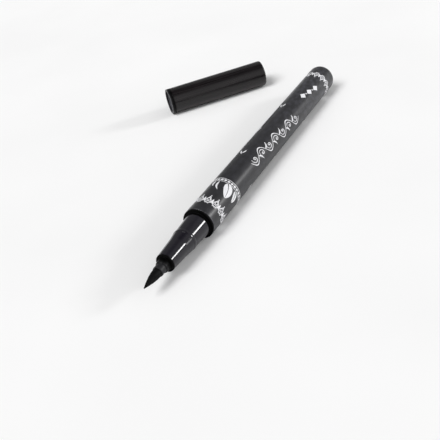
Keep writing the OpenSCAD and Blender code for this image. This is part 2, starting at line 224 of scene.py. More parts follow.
def charcoal_lacquer():
    """Sprayed satin lacquer: soft wide highlights, faint cloudiness, long handling streaks, rubbed edges."""
    made, place = blank("charcoal_satin_lacquer_sprayed", pen_axes)
    tree = made.node_tree
    clouds = noise(place, 14, 5)
    streaks = noise(place, 26, 0.35, detail=4.0)
    dust = noise(place, 0.14, 0.14, detail=1.0, contrast=(0.60, 0.78))
    peel = noise(place, 0.9, 0.9, contrast=(0.2, 0.8))
    drops = noise(place, 2.1, 1.5, detail=3.0, contrast=(0.40, 0.68))
    patchy = noise(place, 0.5, 1.2, contrast=(0.42, 0.6))
    station = add(tree, "SeparateXYZ", {0: place})
    tailward = add(tree, "MapRange", {
        "Value": station, "From Min": DROPS_START, "From Max": DROPS_FULL, "To Min": DROPS_LEAST,
    })
    middle, half_len = (RING_LEN + BARREL_END) / 2, (BARREL_END - RING_LEN) / 2
    from_middle = add(tree, "Math", {0: station, 1: middle}, operation="SUBTRACT")
    off = add(tree, "Math", {0: from_middle}, operation="ABSOLUTE")
    at_edge = add(tree, "MapRange", {
        "Value": off, "From Min": half_len - RUBBED_START, "From Max": half_len - RUBBED_FULL,
    })
    mottle, rubbed = [
        add(tree, "Math", {0: pattern, 1: where}, operation="MULTIPLY")
        for pattern, where in ((drops, tailward), (patchy, at_edge))
    ]
    tones = [
        "#0c0c10", (clouds, 1.0, "#121216"), (mottle, 0.8, "#44444c"), (streaks, 0.4, "#222227"),
        (dust, 0.35, "#4b4b51"), (rubbed, 0.7, "#6a6a70"),
    ]
    heights = [(peel, 0.004), (dust, 0.002), (streaks, 0.001)]
    return finish(made, tones, [(streaks, 0.28, 0.40)], heights, {"IOR": 1.5, "Specular IOR Level": 0.48})


# %% [markdown]
# The ornament is screen printed: white ink pressed through a fine mesh. The film is even but not
# perfect. The mesh leaves a faint grain, a few pinholes let the dark coat through, and the film is
# a little more matt than the lacquer. The mesh of such a screen is about 0.1 mm, which is too fine
# for the picture, so the grain is drawn at 0.3 mm.


# %% White screen print
def white_print():
    """Screen-printed white ink: nearly white, slightly mottled, matt, with rare pinholes."""
    made, place = blank("white_screen_print_ink", pen_axes)
    grain = noise(place, 0.3, 0.3)
    clouds = noise(place, 3, 2)
    pinholes = noise(place, 0.16, 0.16, detail=0.0, contrast=(0.80, 0.86))
    tones = ["#dcdce0", (grain, 1.0, "#f0f0f2"), (clouds, 0.3, "#cfcfd4"), (pinholes, 0.8, "#8a8a90")]
    return finish(made, tones, [(grain, 0.42, 0.58)], [(grain, 0.003)], {"IOR": 1.48})


# %% [markdown]
# The grip is moulded in a polished steel tool, from black plastic. It is nearly a mirror, so what
# it reflects makes its look: one long sharp highlight on black. The wall sinks a little as it
# cools, which bends that highlight in slow waves, and the cap draws fine lines along it each time
# it goes on and off. The corner at the shoulder ring and the round of the nozzle's rim get painted
# shade: both are coloured matt and pitch black, with little specular.

# %% Black gloss plastic of the grip
RING_CORNER, NOZZLE_RIM = (-1.0, -0.75), (-18.15, -18.5)


def painted_shade_band(place, edges, patch, ragged):
    """Painted shade past edges that are pairs of stations, from none to black, its edge wandering by so many
    mm.
    """
    tree = place.id_data
    wander = add(tree, "MapRange", {
        "Value": noise(place, *patch), "To Min": -ragged, "To Max": ragged,
    })
    ragged_station = add(tree, "Math", {0: add(tree, "SeparateXYZ", {0: place}), 1: wander}, operation="ADD")
    shade_mask = 0.0
    for unshaded_at, full_shade_at in edges:
        shade_band = add(tree, "MapRange", {"Value": ragged_station, "From Min": unshaded_at, "From Max": full_shade_at})
        shade_mask = add(tree, "Math", {0: shade_mask, 1: shade_band}, operation="MAXIMUM")
    return shade_mask


def black_gloss():
    """Tool-polished black ABS: a sharp highlight in slow waves, fine rub lines, painted shade in two corners.
    """
    made, place = blank("black_abs_polished_mould", pen_axes)
    rub = noise(place, 9, 0.12, detail=3.0, contrast=(0.5, 0.75))
    smears = noise(place, 4, 1.6, contrast=(0.45, 0.7))
    sink = noise(place, 4.5, 2.5, detail=1.0, contrast=(0.2, 0.8))
    grain = noise(place, 0.25, 0.25, detail=3.0)
    # The mask below paints shade into the corner at the shoulder ring and round the nozzle's rim: near black,
    # matt, little specular.
    shade_mask = painted_shade_band(place, (RING_CORNER, NOZZLE_RIM), patch=(0.5, 0.9), ragged=0.1)
    tones = ["#121018", (rub, 0.5, "#201e27"), (smears, 0.3, "#1a1820"), (shade_mask, 1.0, "#030303")]
    gloss = [(rub, 0.07, 0.15), (smears, 0.0, 0.14), (shade_mask, 0.0, 0.55)]
    heights = [(sink, 0.008), (grain, 0.0006), (rub, 0.0008)]
    return finish(made, tones, gloss, heights, {"IOR": 1.54}, level=[(shade_mask, 0.36, 0.04)])


# %% [markdown]
# The cap's shell has a softer black than the grip: it is moulded against a lightly blasted tool and
# wiped by hands. Its highlights are broad, with faint lines along it, its sharp corners at the
# closed end are worn to a lighter grey, and the edge at the seam is darkened by painted shade.

# %% Black satin plastic of the cap
CAP_LEN, CAP_R = 40.2, 5.0
SEAM_SHADE = (1.75, 1.25)
WORN_ALONG, WORN_ACROSS = (0.6, 0.25), (0.75, 0.4)


def from_axis(place):
    """Distance from the axis in mm: the length of the place without its station."""
    tree = place.id_data
    across = add(tree, "VectorMath", {0: place, 1: (0, 1, 1)}, operation="MULTIPLY")
    return add(tree, "VectorMath", {0: across}, operation="LENGTH").outputs["Value"]


def black_satin():
    """Satin black ABS with a trace of purple-brown: broad highlights, lengthwise wipe lines, worn corners."""
    made, place = blank("black_abs_satin_mould", cap_axes)
    tree = made.node_tree
    wipe = noise(place, 18, 0.3, detail=4.0, contrast=(0.35, 0.7))
    clouds = noise(place, 7, 3)
    blast = noise(place, 0.12, 0.12)
    patchy = noise(place, 0.8, 1.5, contrast=(0.25, 0.6))
    station = add(tree, "SeparateXYZ", {0: place})
    reaches = ((station, CAP_LEN, WORN_ALONG), (from_axis(place), CAP_R, WORN_ACROSS))
    worn = patchy
    for value, edge, (begins, full) in reaches:
        near = add(tree, "MapRange", {"Value": value, "From Min": edge - begins, "From Max": edge - full})
        worn = add(tree, "Math", {0: worn, 1: near}, operation="MULTIPLY")
    # The seam's mask paints shade at the shell's edge by the seam: near black, with little specular.
    unshaded_at, seam_shade_full = SEAM_SHADE
    seam_shade = add(tree, "MapRange", {"Value": station, "From Min": unshaded_at, "From Max": seam_shade_full})
    tones = [
        "#080607", (clouds, 1.0, "#0f0c0d"), (wipe, 0.7, "#201c1e"), (worn, 0.8, "#4a494c"),
        (seam_shade, 1.0, "#020202"),
    ]
    heights = [(blast, 0.0015), (wipe, 0.0016), (clouds, 0.004)]
    return finish(made, tones, [(wipe, 0.19, 0.31)], heights, {"IOR": 1.5}, level=[(seam_shade, 0.38, 0.08)])


# %% [markdown]
# The cap's inner sleeve shows as a collar at the mouth. Its lip is painted paler as a painted
# highlight, a paler ring is painted into the bore just inside it as painted light, and the band
# behind the lip, up to the edge of the shell, is painted black as painted shade.

# %% Black plastic of the cap's collar
COLLAR_SHADE = (0.2, 0.5)
MOUTH_WALL, BORE_LIGHT_START, BORE_LIGHT_END = (4.35, 4.2), (0.45, 0.75), (2.2, 1.4)


def collar_plastic():
    """Natural-sheen black PP: waxy, a painted highlight on the lip, painted shade behind it, painted light in
    the bore.
    """
    made, place = blank("black_pp_natural_sheen", cap_axes)
    tree = made.node_tree
    clouds = noise(place, 5, 2.5)
    grain = noise(place, 0.15, 0.15)
    lines = noise(place, 8, 0.2, detail=3.0, contrast=(0.45, 0.7))
    station = add(tree, "SeparateXYZ", {0: place})
    radius = from_axis(place)
    # Of the masks below, the lip's is a painted highlight, the band behind the lip is painted shade and the
    # bore's ring is painted light.
    behind_lip_shade, lip_highlight, past_start, before_end, at_wall = [
        add(tree, "MapRange", {"Value": value, "From Min": none, "From Max": full})
        for value, (none, full) in (
            (station, COLLAR_SHADE), (station, COLLAR_SHADE[::-1]), (station, BORE_LIGHT_START),
            (station, BORE_LIGHT_END), (radius, MOUTH_WALL),
        )
    ]
    band = add(tree, "Math", {0: past_start, 1: before_end}, operation="MULTIPLY")
    bore_light = add(tree, "Math", {0: at_wall, 1: band}, operation="MULTIPLY")
    tones = [
        "#101012", (clouds, 1.0, "#1a1a1d"), (lines, 0.25, "#232327"), (lip_highlight, 0.6, "#2b2b2f"),
        (behind_lip_shade, 0.9, "#040404"), (bore_light, 1.0, "#57575c"),
    ]
    heights = [(grain, 0.002), (lines, 0.001)]
    return finish(made, tones, [(lines, 0.36, 0.48)], heights, {"IOR": 1.5}, level=[(behind_lip_shade, 0.5, 0.1)])


# %% [markdown]
# The tail plug is a plain moulding, a shade lighter than the coat beside it. It was pushed out of
# its tool along its axis, which leaves faint lines that way.


# %% Charcoal plastic of the tail plug
def charcoal_plastic():
    """Moulded charcoal PP: two close tones in slow clouds, a fine tool grain, lengthwise ejection lines."""
    made, place = blank("charcoal_pp_moulded", pen_axes)
    clouds = noise(place, 5, 2.5)
    grain = noise(place, 0.15, 0.15)
    lines = noise(place, 8, 0.2, detail=3.0, contrast=(0.45, 0.7))
    tones = ["#2a2a2d", (clouds, 1.0, "#38383c"), (lines, 0.25, "#38383c")]
    return finish(made, tones, [(lines, 0.34, 0.44)], [(grain, 0.002), (lines, 0.001)], {"IOR": 1.5})


# %% [markdown]
# The holder of the nib is a smoke-grey plastic, paler than the grip and the nib. Its root, just in
# front of the nozzle, is painted black and dull, as painted shade.

# %% Smoke-grey plastic of the nib's holder
HOLDER_SHADE = (-20.9, -19.9)


def smoke_plastic():
    """Smoke-grey POM: a soft sheen, and a ragged band of painted shade, black and dull, at its root."""
    made, place = blank("smoke_grey_pom_moulded", pen_axes)
    clouds = noise(place, 1.2, 0.8)
    grain = noise(place, 0.12, 0.12)
    # The mask below paints shade at the holder's root: near black and dull.
    shade_band = painted_shade_band(place, [HOLDER_SHADE], patch=(0.7, 0.5), ragged=0.25)
    tones = ["#151518", (clouds, 1.0, "#202023"), (shade_band, 1.0, "#030303")]
    heights = [(grain, 0.001), (clouds, 0.003)]
    return finish(made, tones, [(grain, 0.42, 0.52)], heights, {"IOR": 1.48}, level=[(shade_band, 0.32, 0.06)])


# %% [markdown]
# The nib is a bundle of polyester fibres, bonded and ground to a point, and it is soaked with black
# ink. Fibres run along it, so dark and light threads and their relief are stretched lengthwise. Wet
# threads shine and dry ones don't. A real fibre is 0.02 mm thick, too fine to show, so threads are
# drawn 0.07 mm wide.


# %% Fibre of the nib and the core
def fibre(name, dark, light, wet, dry, level):
    """Bonded fibre bundle: long thin threads in two tones, wet and dry stretches, ridges along it."""
    made, place = blank(name, pen_axes)
    threads = noise(place, 3.5, 0.07, detail=3.0)
    patches = noise(place, 1.3, 0.5, contrast=(0.4, 0.65))
    tones = [dark, (threads, 1.0, light), (patches, 0.6, dark)]
    gloss = [(patches, wet, dry), (threads, wet, dry - 0.1)]
    heights = [(threads, 0.02), (patches, 0.01)]
    return finish(made, tones, gloss, heights, {"IOR": 1.4, "Specular IOR Level": level})


# %% [markdown]
# What works inside the pen is finished too, though the barrel hides it: the clear comb that holds
# back ink, rubber rings, the steel ball that stirs the ink and the drawn wire of the cap's spring.


# %% Clear plastic, rubber and steel
def clear_plastic():
    """Moulded clear SAN: see-through with faint flow lines."""
    made, place = blank("clear_san_moulded", pen_axes)
    flow = noise(place, 6, 0.8)
    tones, gloss = ["#d5dadd", (flow, 1.0, "#eef1f2")], [(flow, 0.08, 0.2)]
    return finish(made, tones, gloss, [(flow, 0.003)], {"IOR": 1.57, "Transmission Weight": 0.85})


def seal_rubber():
    """Nitrile rubber cord ring: matt black, bloomed grey in patches."""
    made, place = blank("nitrile_rubber_moulded", pen_axes)
    bloom = noise(place, 0.8, 0.8, detail=4.0)
    grain = noise(place, 0.1, 0.1)
    tones, gloss = ["#161617", (bloom, 1.0, "#262627")], [(bloom, 0.6, 0.8)]
    return finish(made, tones, gloss, [(grain, 0.004)], {"IOR": 1.52})


def steel(name, axes, dark, light, mark, rough):
    """Bare steel: metallic, with the marks of its making, that many mm across."""
    made, place = blank(name, axes)
    marks = noise(place, mark, mark, detail=4.0)
    tones, gloss = [dark, (marks, 1.0, light)], [(marks, rough, rough + 0.12)]
    return finish(made, tones, gloss, [(marks, 0.0015)], {"Metallic": 1.0})


finishes = {
    "charcoal_lacquer": charcoal_lacquer(),
    "charcoal_plastic": charcoal_plastic(),
    "white_print": white_print(),
    "black_gloss": black_gloss(),
    "black_satin": black_satin(),
    "black_plastic": collar_plastic(),
    "smoke_plastic": smoke_plastic(),
    "black_fibre": fibre("inked_polyester_fibre_ground", "#030303", "#101011", 0.36, 0.72, 0.14),
    "core_fibre": fibre("inked_polyester_fibre_cord", "#0c0c0d", "#2b2b2d", 0.35, 0.75, 0.35),
    "clear_plastic": clear_plastic(),
    "seal_rubber": seal_rubber(),
    "ball_steel": steel("bearing_steel_polished", pen_axes, "#9a9c9f", "#c9cbcd", 0.6, 0.06),
    "spring_steel": steel("spring_steel_drawn", cap_axes, "#85878a", "#b4b6b9", 0.15, 0.2),
}
print(len(finishes), "finishes:", ", ".join(m.name for m in finishes.values()))

# %% [markdown]
# A turned part is the surface that an outline sweeps when it goes once round an axis. The outline
# is a short list of corners as (station, radius, softness). No moulded or machined corner is truly
# sharp, and it is the small rounding that catches a line of light, so each corner becomes a little
# curve. Just beyond each curve a support point follows, because smooth shading blends the
# directions of neighbouring faces, and without it a corner would bend the reflections of the whole
# straight stretch beside it. A spin operator could turn the outline too, but as a grid of stations
# and angles the whole surface is one array, and a function can press ribs or grooves into it by
# changing the radius with the angle.

# %% Turned surfaces
TURN_STEPS, CORNER_STEPS = 192, 4
SOFTNESS, SUPPORT = 0.03, 0.05
MOST_CUT, MOST_SUPPORT = 0.48, 0.3
TOLERANCE, NO_LENGTH = 0.01, 1e-9


def softened(corners, closed):
    """Outline with each corner p as a quadratic curve from a to b: (1-t)^2 a + 2t(1-t) p + t^2 b."""
    p = np.array([corner[:2] for corner in corners], float)
    soft = np.array([corner[2] if len(corner) > 2 else SOFTNESS for corner in corners], float)
    back, ahead = np.roll(p, 1, 0) - p, np.roll(p, -1, 0) - p
    back_len, ahead_len = [np.maximum(np.linalg.norm(way, axis=1), NO_LENGTH) for way in (back, ahead)]
    cut = np.minimum(soft, MOST_CUT * np.minimum(back_len, ahead_len))
    if not closed:
        cut[[0, -1]] = 0
    a = p + back * (cut / back_len)[:, None]
    b = p + ahead * (cut / ahead_len)[:, None]
    t = np.linspace(0, 1, CORNER_STEPS + 1)[None, :, None]
    curve = (1 - t) ** 2 * a[:, None] + 2 * t * (1 - t) * p[:, None] + t ** 2 * b[:, None]
    before = a + back * (np.minimum(SUPPORT, MOST_SUPPORT * (back_len - cut)) / back_len)[:, None]
    after = b + ahead * (np.minimum(SUPPORT, MOST_SUPPORT * (ahead_len - cut)) / ahead_len)[:, None]
    points = np.concatenate([before[:, None], curve, after[:, None]], 1)
    if not closed:
        points[0, 0], points[-1, -1] = p[0], p[-1]
    return points.reshape(-1, 2)


def quads(rows, columns, closed):
    """Faces (i, j), (i, j+1), (i+1, j+1), (i+1, j) of a grid whose rows go round, and columns if closed."""
    i, j = np.meshgrid(np.arange(rows - (not closed)), np.arange(columns), indexing="ij")
    i2, j2 = (i + 1) % rows, (j + 1) % columns
    corners = [i * columns + j, i * columns + j2, i2 * columns + j2, i2 * columns + j]
    return np.stack(corners, -1).reshape(-1, 4)


def turned(outline, axes, closed=False, steps=TURN_STEPS, shape=None):
    """Solid of revolution: an outline's point (s, r) goes round as s along + r (cos a side + sin a up)."""
    angle = (2 * np.pi * np.arange(steps) / steps)[None]
    station, radius = outline[:, :1], outline[:, 1:]
    if shape:
        radius = shape(station, radius, angle)
    return axes.point(station, radius, angle).reshape(-1, 3), quads(len(outline), steps, closed)


def off_line(angle, lines, radius, first=0.0):
    """Way round to the nearest of so many even lines: |(a - first + h) mod 2h - h| r, with h = pi / lines."""
    h = np.pi / lines
    return np.abs((angle - first + h) % (2 * h) - h) * radius


print("a turned surface goes round in", TURN_STEPS, "steps")

# %% [markdown]
# Every piece ends the same way. Its grids go into one mesh, points that coincide at poles and seams
# are merged, faces are turned outwards, and only real edges stay sharp. Then it rides on its body,
# stands for the solids it replaces and says which finish it has.

# %% From grids to a piece
SAME_POINT = 1e-4


def piece(name, grids, slot, body, replaced=(), sharp=40):
    """One mesh from grids of (points in mm, faces), with doubles merged and edges over an angle sharp."""
    starts = np.cumsum([0] + [len(points) for points, _ in grids])
    points = np.concatenate([points for points, _ in grids]) * mm
    faces = np.concatenate([faces + start for (_, faces), start in zip(grids, starts)])
    mesh = bpy.data.meshes.new(name)
    mesh.from_pydata(points.tolist(), [], faces.tolist())
    work = bmesh.new()
    work.from_mesh(mesh)
    bmesh.ops.remove_doubles(work, verts=work.verts, dist=SAME_POINT * mm)
    bmesh.ops.recalc_face_normals(work, faces=work.faces)
    work.to_mesh(mesh)
    work.free()
    mesh.shade_smooth()
    mesh.set_sharp_from_angle(angle=math.radians(sharp))
    mesh.materials.append(finishes[slot])
    made = bpy.data.objects.new(name, mesh)
    bpy.context.scene.collection.objects.link(made)
    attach(made, body)
    if replaced:
        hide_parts(*replaced)
    print(f"{name}: {len(mesh.polygons)} faces")
    return made


def turned_piece(name, axes, slot, body, node, corners, closed=False, **how):
    """Piece turned from the corners of its outline, which stands for one solid."""
    grid = turned(softened(corners, closed), axes, closed, **how)
    piece(name, [grid], slot, body, [node])


# %% [markdown]
# The barrel is a tube with a wider bore at both ends, for the front section and the tail plug, and
# the ink tank between them. The coat is drawn a hair inside the measured radius, because the
# printed film lies on top of it.

# %% Barrel
INK_FILM = 0.02
FRONT_BORE_END, TANK_END = 33.0, 92.2
BORE_R, TANK_R = 4.1, 3.8
COAT_R = BARREL_R - INK_FILM

turned_piece("barrel_shell", pen_axes, "charcoal_lacquer", "pen", "barrel_tube", [
    (RING_LEN, COAT_R, 0.25), (BARREL_END, COAT_R, 0.25), (BARREL_END, BORE_R, 0.1),
    (TANK_END, BORE_R), (TANK_END, TANK_R), (FRONT_BORE_END, TANK_R), (FRONT_BORE_END, BORE_R),
    (RING_LEN, BORE_R, 0.1),
], closed=True)

# %% [markdown]
# The tail plug closes the tank. Only its head shows: a flat button a little smaller than the
# barrel, with a rounded edge and a small dimple where the plastic was injected. Its spigot is
# hollow and has the groove for a rubber ring.

# %% Tail plug
HEAD_R, HEAD_LEN = 4.8, 0.7
SPIGOT_R, SPIGOT_LEN, HOLLOW_R, HOLLOW_FLOOR = 4.08, 7.0, 2.78, 1.3
DIMPLE_R, DIMPLE_FLOOR_R, DIMPLE_DEPTH = 0.7, 0.49, 0.15
GROOVE_LEN, GROOVE_R, GROOVE_AT = 0.84, 3.26, 1.6


def ring_groove(middle, direction):
    """Corners of a square groove for a rubber ring, in the order of the stations' direction."""
    near, far = middle - direction * GROOVE_LEN / 2, middle + direction * GROOVE_LEN / 2
    return [(near, SPIGOT_R), (near, GROOVE_R), (far, GROOVE_R), (far, SPIGOT_R)]


def dimple(end):
    """Corners of the dimple in the middle of an end face, on to the axis."""
    return [(end, DIMPLE_R, 0.08), (end - DIMPLE_DEPTH, DIMPLE_FLOOR_R, 0.1), (end - DIMPLE_DEPTH, 0)]


head_x = BARREL_END + HEAD_LEN
spigot_x = BARREL_END - SPIGOT_LEN
turned_piece("tail_end", pen_axes, "charcoal_plastic", "pen", "tail_plug", [
    (BARREL_END - HOLLOW_FLOOR, 0), (BARREL_END - HOLLOW_FLOOR, HOLLOW_R, 0.3), (spigot_x, HOLLOW_R, 0.1),
    (spigot_x, SPIGOT_R, 0.2), *ring_groove(spigot_x + GROOVE_AT, 1), (BARREL_END, SPIGOT_R),
    (BARREL_END, HEAD_R, 0.05), (head_x, HEAD_R, 0.4), *dimple(head_x),
])

# %% [markdown]
# The grip is one moulding from the spigot in the barrel to the nozzle. Seen from the barrel: the
# thin shoulder ring that the cap stops against, a cone, the low bead that snaps into the cap, a
# steeper cone that leads up to it, a slimmer cone and the rounded nozzle with the seat of the nib's
# holder. Where two mouldings meet face to face, one of them ends a hair short.

# %% Grip
SEAT_GAP = 0.02
RING_R, ROOT_R, WAIST_R, FRONT_R, NOZZLE_R = 4.95, 4.05, 3.62, 3.29, 2.85
BEAD_AT, BEAD_LEN, BEAD_R, BEAD_STEPS = -8.0, 1.2, 3.73, 12
LEAD_AT, NOZZLE_AT, SEAT_R, SEAT_LEN, HOLDER_BORE_R = -11.4, -18.9, 2.27, 0.9, 2.02
SECTION_BORE_R, SECTION_BORE_X, SECTION_X1 = 2.9, -6.0, 10.0

bead = [
    (BEAD_AT + BEAD_LEN / 2 * math.cos(a), WAIST_R + (BEAD_R - WAIST_R) * math.sin(a))
    for a in np.linspace(0, np.pi, BEAD_STEPS + 1)[1:-1]
]
ring_back, seat_end = RING_LEN - SEAT_GAP, NOZZLE_AT + SEAT_LEN
turned_piece("grip", pen_axes, "black_gloss", "pen", "front_section", [
    (SECTION_BORE_X, SECTION_BORE_R), (SECTION_X1, SECTION_BORE_R, 0.1), (SECTION_X1, SPIGOT_R, 0.2),
    *ring_groove(SECTION_X1 - GROOVE_AT, -1), (ring_back, SPIGOT_R), (ring_back, RING_R, 0.05),
    (0, RING_R, 0.08), (0, ROOT_R, 0.25), (BEAD_AT + BEAD_LEN / 2, WAIST_R, 0.1), *bead,
    (BEAD_AT - BEAD_LEN / 2, WAIST_R, 0.1), (LEAD_AT, FRONT_R, 0.3), (NOZZLE_AT, NOZZLE_R, 0.55),
    (NOZZLE_AT, SEAT_R, 0.06), (seat_end, SEAT_R), (seat_end, HOLDER_BORE_R),
    (SECTION_BORE_X, HOLDER_BORE_R),
], closed=True)

# %% [markdown]
# The holder clamps the nib: a collar in the nozzle's seat, a short tapered snout, a rounded step
# and a thin sleeve that the nib comes out of. Three grooves along its back let air into the tank.
# They are pressed into the turned surface by a function of the angle.

# %% Nib holder
COLLAR_R, HOLDER_R, SNOUT_ROOT_R, SNOUT_R, SLEEVE_R, HOLDER_BORE = 2.25, 2.0, 2.1, 1.9, 1.6, 1.42
SNOUT_X, SLEEVE_X, HOLDER_X1 = -20.6, -22.6, -8.3
AIR_GROOVE, AIR_GROOVES, GROOVE_RISE, HOLDER_STEPS = 0.3, 3, 0.2, 240


def air_grooves(station, radius, angle):
    """Radius less the groove's depth, behind the collar and within half a groove's width of a groove."""
    inside = (off_line(angle, AIR_GROOVES, HOLDER_R) < AIR_GROOVE / 2) & (station > seat_end)
    return np.where(inside & (radius > HOLDER_R - TOLERANCE), radius - AIR_GROOVE, radius)


collar_x = seat_end - SEAT_GAP
turned_piece("nib_sleeve", pen_axes, "smoke_plastic", "pen", "nib_holder", [
    (HOLDER_X1, HOLDER_BORE, 0.05), (SLEEVE_X, HOLDER_BORE, 0.05), (SLEEVE_X, SLEEVE_R, 0.12),
    (SNOUT_X, SLEEVE_R, 0.12), (SNOUT_X, SNOUT_R, 0.28), (NOZZLE_AT, SNOUT_ROOT_R, 0.05),
    (NOZZLE_AT, COLLAR_R, 0.05), (collar_x, COLLAR_R), (collar_x, HOLDER_R),
    (collar_x + GROOVE_RISE, HOLDER_R, 0), (HOLDER_X1, HOLDER_R, 0),
], closed=True, steps=HOLDER_STEPS, shape=air_grooves)

# %% [markdown]
# The nib's point is ground from the round shank. Its radius follows a quarter of a sine wave, blunt
# at the tip and tangent to the shank. Bundles of fibres stand a hair proud of the glue between
# them, so faint flutes run along it and fade out towards the tip.

# %% Nib
NIB_R, POINT_X, POINT_LEN, POINT_STEPS = 1.4, -29.5, 6.8, 40
TIP_R, TIP_STEPS = 0.12, 7
SHANK_X1, SOCKET_R, SOCKET_X = -11.1, 0.82, -14.2
FLUTES, FLUTE_DEPTH = 26, 0.018


def flutes(station, radius, angle):
    """Radius less depth x share x (3/4 + w/2): w = sin(26 a + sin(5 a) / 2) + sin(11 a + 0.4 s) / 2."""
    wave = np.sin(FLUTES * angle + 0.5 * np.sin(5 * angle)) + 0.5 * np.sin(11 * angle + 0.4 * station)
    share = np.clip(radius / NIB_R, 0, 1) ** 2 * (station < SLEEVE_X) * (radius > TIP_R)
    return radius - FLUTE_DEPTH * share * (0.75 + wave / 2)


t = np.linspace(0, 1, POINT_STEPS)
point = np.stack([POINT_X + POINT_LEN * t, TIP_R + (NIB_R - TIP_R) * np.sin(np.pi / 2 * t)], -1)
tip_turn = np.linspace(0, np.pi / 2, TIP_STEPS)[:-1]
tip = np.stack([POINT_X - TIP_R / 2 * np.cos(tip_turn), TIP_R * np.sin(tip_turn)], -1)
shank = softened([
    (POINT_X + POINT_LEN, NIB_R), (SLEEVE_X + TOLERANCE, NIB_R), (SHANK_X1, NIB_R, 0.1),
    (SHANK_X1, SOCKET_R, 0.05), (SOCKET_X, SOCKET_R), (SOCKET_X, 0),
], closed=False)
nib_outline = np.concatenate([tip, point, shank])
piece("nib_tip", [turned(nib_outline, pen_axes, shape=flutes)], "black_fibre", "pen", ["nib"], sharp=60)

# %% [markdown]
# A print could be painted by a mask in the barrel's material, but its edges would then be as coarse
# as the picture they are baked to. Here each stroke is a real film of ink: a path on the unrolled
# barrel, in mm along and mm round, and a half width at each point of it. Sweeping the width along
# the path and rolling the result round the barrel gives a closed film whose edge stays crisp from
# any distance. Leaves, dots and lozenges are strokes too, whose width swells and shrinks.

# %% Printed strokes
FILM_TOP, FILM_BOTTOM = BARREL_R - 0.002, COAT_R - 0.015
ROUND = 2 * np.pi * BARREL_R
RING_STEPS, LEAF_STEPS, DOT_STEPS = 240, 28, 14


def strokes(path, half, closed=False, across=3):
    """Films of paths (k, n, 2): path + v half normal for v from -1 to 1, above, and back again below."""
    path, half = np.broadcast_arrays(path, np.asarray(half)[..., None])
    half = half[..., 0]
    if closed:
        tangent = np.roll(path, -1, 1) - np.roll(path, 1, 1)
        tangent[..., 1] = (tangent[..., 1] + ROUND / 2) % ROUND - ROUND / 2
    else:
        tangent = np.gradient(path, axis=1)
    tangent = tangent / np.maximum(np.linalg.norm(tangent, axis=-1, keepdims=True), NO_LENGTH)
    normal = np.stack([-tangent[..., 1], tangent[..., 0]], -1)
    v = np.linspace(-1, 1, across)
    v = np.concatenate([v, v[::-1]])
    radius = np.repeat([FILM_TOP, FILM_BOTTOM], across)
    flat = path[:, :, None] + v[:, None] * half[:, :, None, None] * normal[:, :, None]
    points = pen_axes.point(flat[..., 0], radius, flat[..., 1] / BARREL_R)
    count, length = path.shape[:2]
    cells = quads(length, 2 * across, closed)
    faces = cells[None] + (np.arange(count) * length * 2 * across)[:, None, None]
    return points.reshape(-1, 3), faces.reshape(-1, 4)


def eased(steps):
    """Shares from 0 to 1, close together at both ends: (1 - cos(pi i / n)) / 2."""
    return (1 - np.cos(np.linspace(0, np.pi, steps))) / 2


def round_ended(path, width):
    """Half width of a line with round ends: (width / 2) sqrt(1 - e^2), with e from 1 at an end to 0."""
    step = np.linalg.norm(np.diff(path, axis=-2), axis=-1)
    gone = np.concatenate([np.zeros(step.shape[:-1] + (1,)), np.cumsum(step, -1)], -1)
    end = np.minimum(gone, gone[..., -1:] - gone)
    short = 1 - np.clip(end / (width / 2), 0, 1)
    return width / 2 * np.sqrt(1 - short ** 2)


def swelling(path, thin, thick, waves):
    """Half width of a line that swells as a sine squared, that many times, with round ends."""
    s = np.linspace(0, 1, path.shape[-2])
    return round_ended(path, thin) * (1 + (thick / thin - 1) * np.sin(np.pi * waves * s) ** 2)


def unrolled(*places):
    """Places of (station, angle in degrees) on the unrolled barrel, in mm: 0 is the far side, 90 is up."""
    return np.array([(station, math.radians(angle) * BARREL_R) for station, angle in places])


def all_round(station, count):
    """So many places at a station, spread evenly round the barrel."""
    return np.stack([np.full(count, station), ROUND * np.arange(count) / count], -1)


def at_each(places, path):
    """The same path moved to each of the places, as (k, n, 2)."""
    return np.asarray(places, float)[:, None] + np.asarray(path, float)[None]


def dots(places, radius, steps=DOT_STEPS):
    """Round dots: a straight stroke whose half width is that of a circle."""
    t = 2 * eased(steps) - 1
    path = at_each(places, np.stack([radius * t, 0 * t], -1))
    return strokes(path, radius * np.sqrt(1 - t ** 2), across=5)


def leaf_path(start, end, bend, steps=LEAF_STEPS):
    """Path from start to end, bowed sideways by a sine of that height."""
    start, end = np.array(start, float), np.array(end, float)
    s = eased(steps)[:, None]
    chord = end - start
    side = np.array([-chord[1], chord[0]]) / np.linalg.norm(chord)
    return start + s * chord + bend * np.sin(np.pi * s) * side


def leaves(paths, width, belly=0.42, across=7):
    """Pointed leaves: the half width is a sine of a bent share, to the power 0.85, widest at the belly."""
    bent = eased(paths.shape[1]) ** (math.log(0.5) / math.log(belly))
    return strokes(paths, width / 2 * np.sin(np.pi * bent) ** 0.85, across=across)


def ring_line(station, width):
    """A line once round the barrel."""
    return strokes(all_round(station, RING_STEPS)[None], width / 2, closed=True)


def printed(name, grids):
    """Piece of white ink on the pen, from the films of its strokes."""
    piece(name, grids, "white_print", "pen")


print("ink film between radii", round(FILM_BOTTOM, 3), "and", round(FILM_TOP, 3))

# %% [markdown]
# A lace edging goes round the barrel at both ends. Lace is a traditional ornament of arcs, rings
# and points that repeat: hanging scallops with little picots, a thread, a ring of holes and pointed
# arches with a bead on top. One function draws a band from its thread towards a direction, so the
# tail's band is the same one turned round.

# %% Lace bands
LACE_REPEATS, LACE_LINE, LACE_STEPS = 12, 0.26, 22
THREADS = {"lace_front": (5.6, 1), "lace_tail": (93.0, -1)}
SCALLOP_DEPTH, PICOT_AT, PICOT_R = 0.75, 0.98, 0.15
ARCH_START, ARCH_HEIGHT, ARCH_FOOT, ARCH_REACH = 0.2, 2.0, 0.04, 0.46
HOLE_AT, HOLE_R, HOLE_HALF, HOLE_STEPS = 0.85, 0.48, LACE_LINE / 2.4, 32
SPUR_START, SPUR_LEN, SPUR_W = 0.1, 1.5, 0.55
LACE_BEAD_AT, LACE_BEAD_R = 2.55, 0.19


